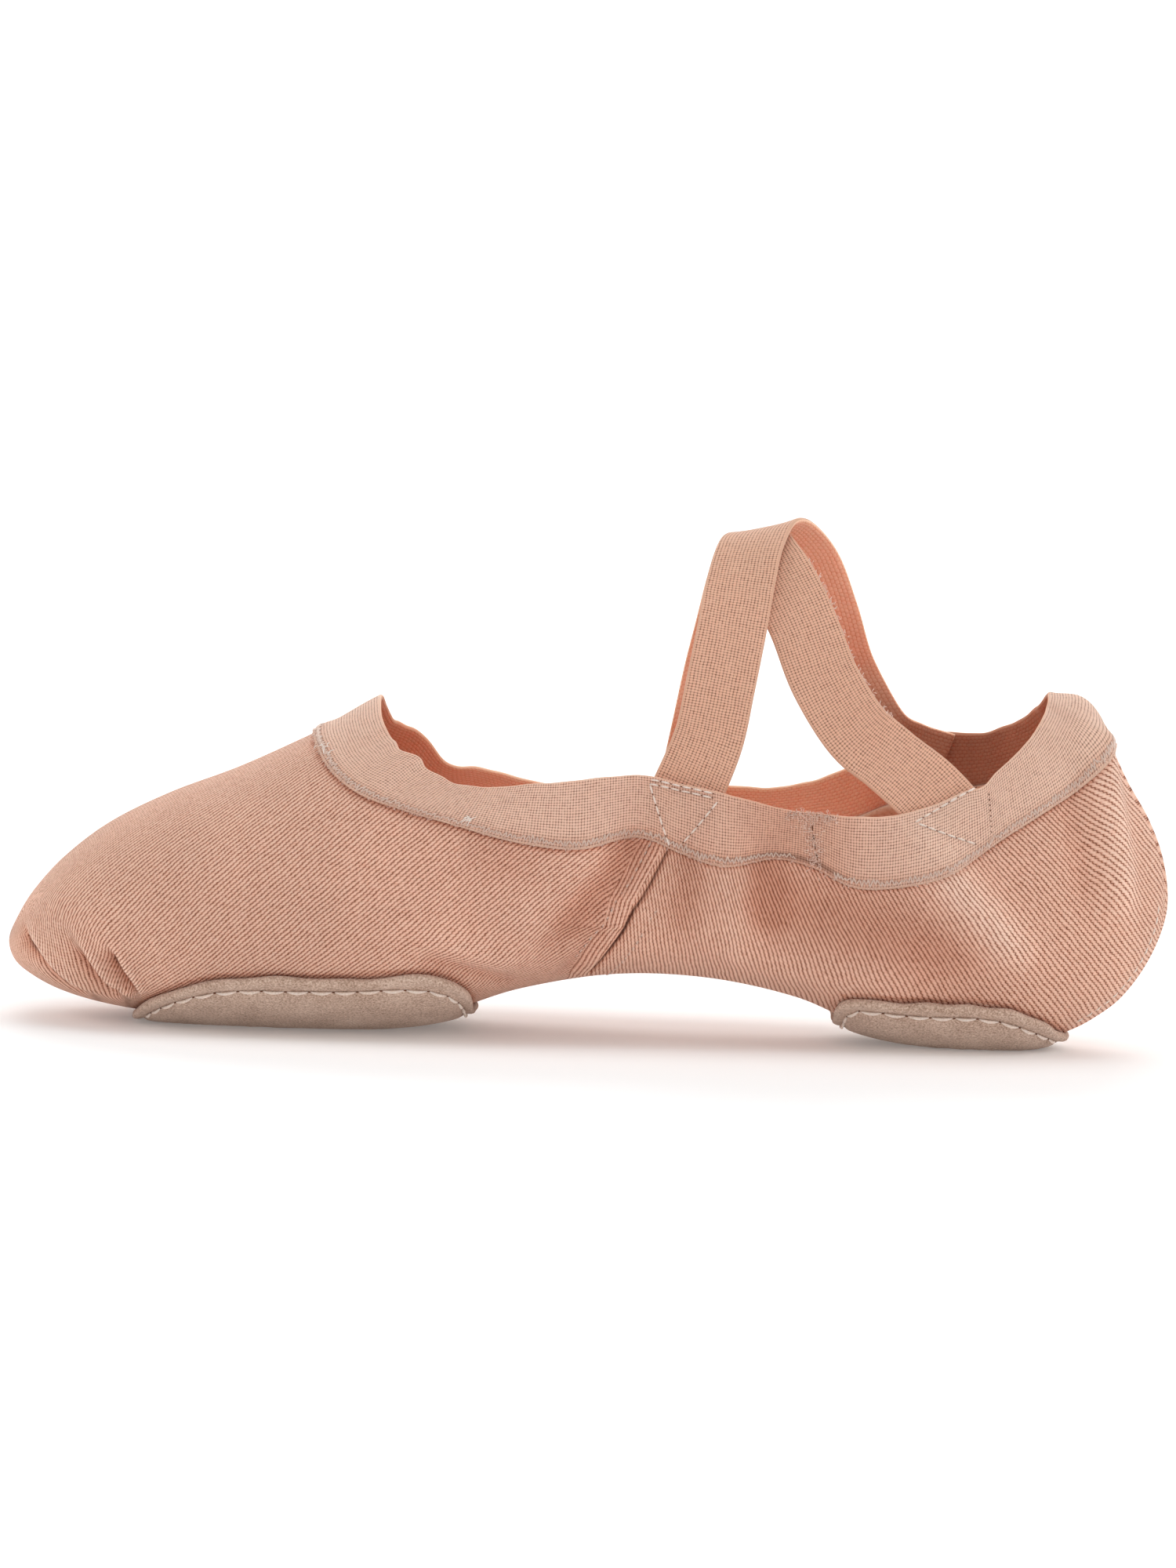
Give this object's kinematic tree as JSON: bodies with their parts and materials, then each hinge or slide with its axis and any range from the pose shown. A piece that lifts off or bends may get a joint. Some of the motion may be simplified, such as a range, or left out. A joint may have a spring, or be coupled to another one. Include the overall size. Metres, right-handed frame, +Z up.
{
  "type": "split sole ballet slipper",
  "caption": "Soft canvas dance slipper with an elastic collar, crossed elastic straps over the instep and separate suede patches under the ball of the foot and the heel.",
  "frame": {"origin": "on the floor, under the middle of the slipper's length and width", "axes": "-X towards the toe, +X towards the heel, +Z up, -Y the side that the picture shows"},
  "size_m": [0.236, 0.076, 0.1067],
  "materials": {
    "canvas": "cotton twill, matt",
    "elastic": "woven elastic, matt",
    "suede": "napped split suede, matt",
    "lining": "brushed cotton, matt"
  },
  "bodies": {
    "root": {"upper": "canvas", "collar_elastic": "elastic", "strap_over": "elastic", "strap_under": "elastic", "sole_forefoot": "suede", "sole_heel": "suede", "insole_forefoot": "lining", "insole_heel": "lining"}
  },
  "joints": []
}
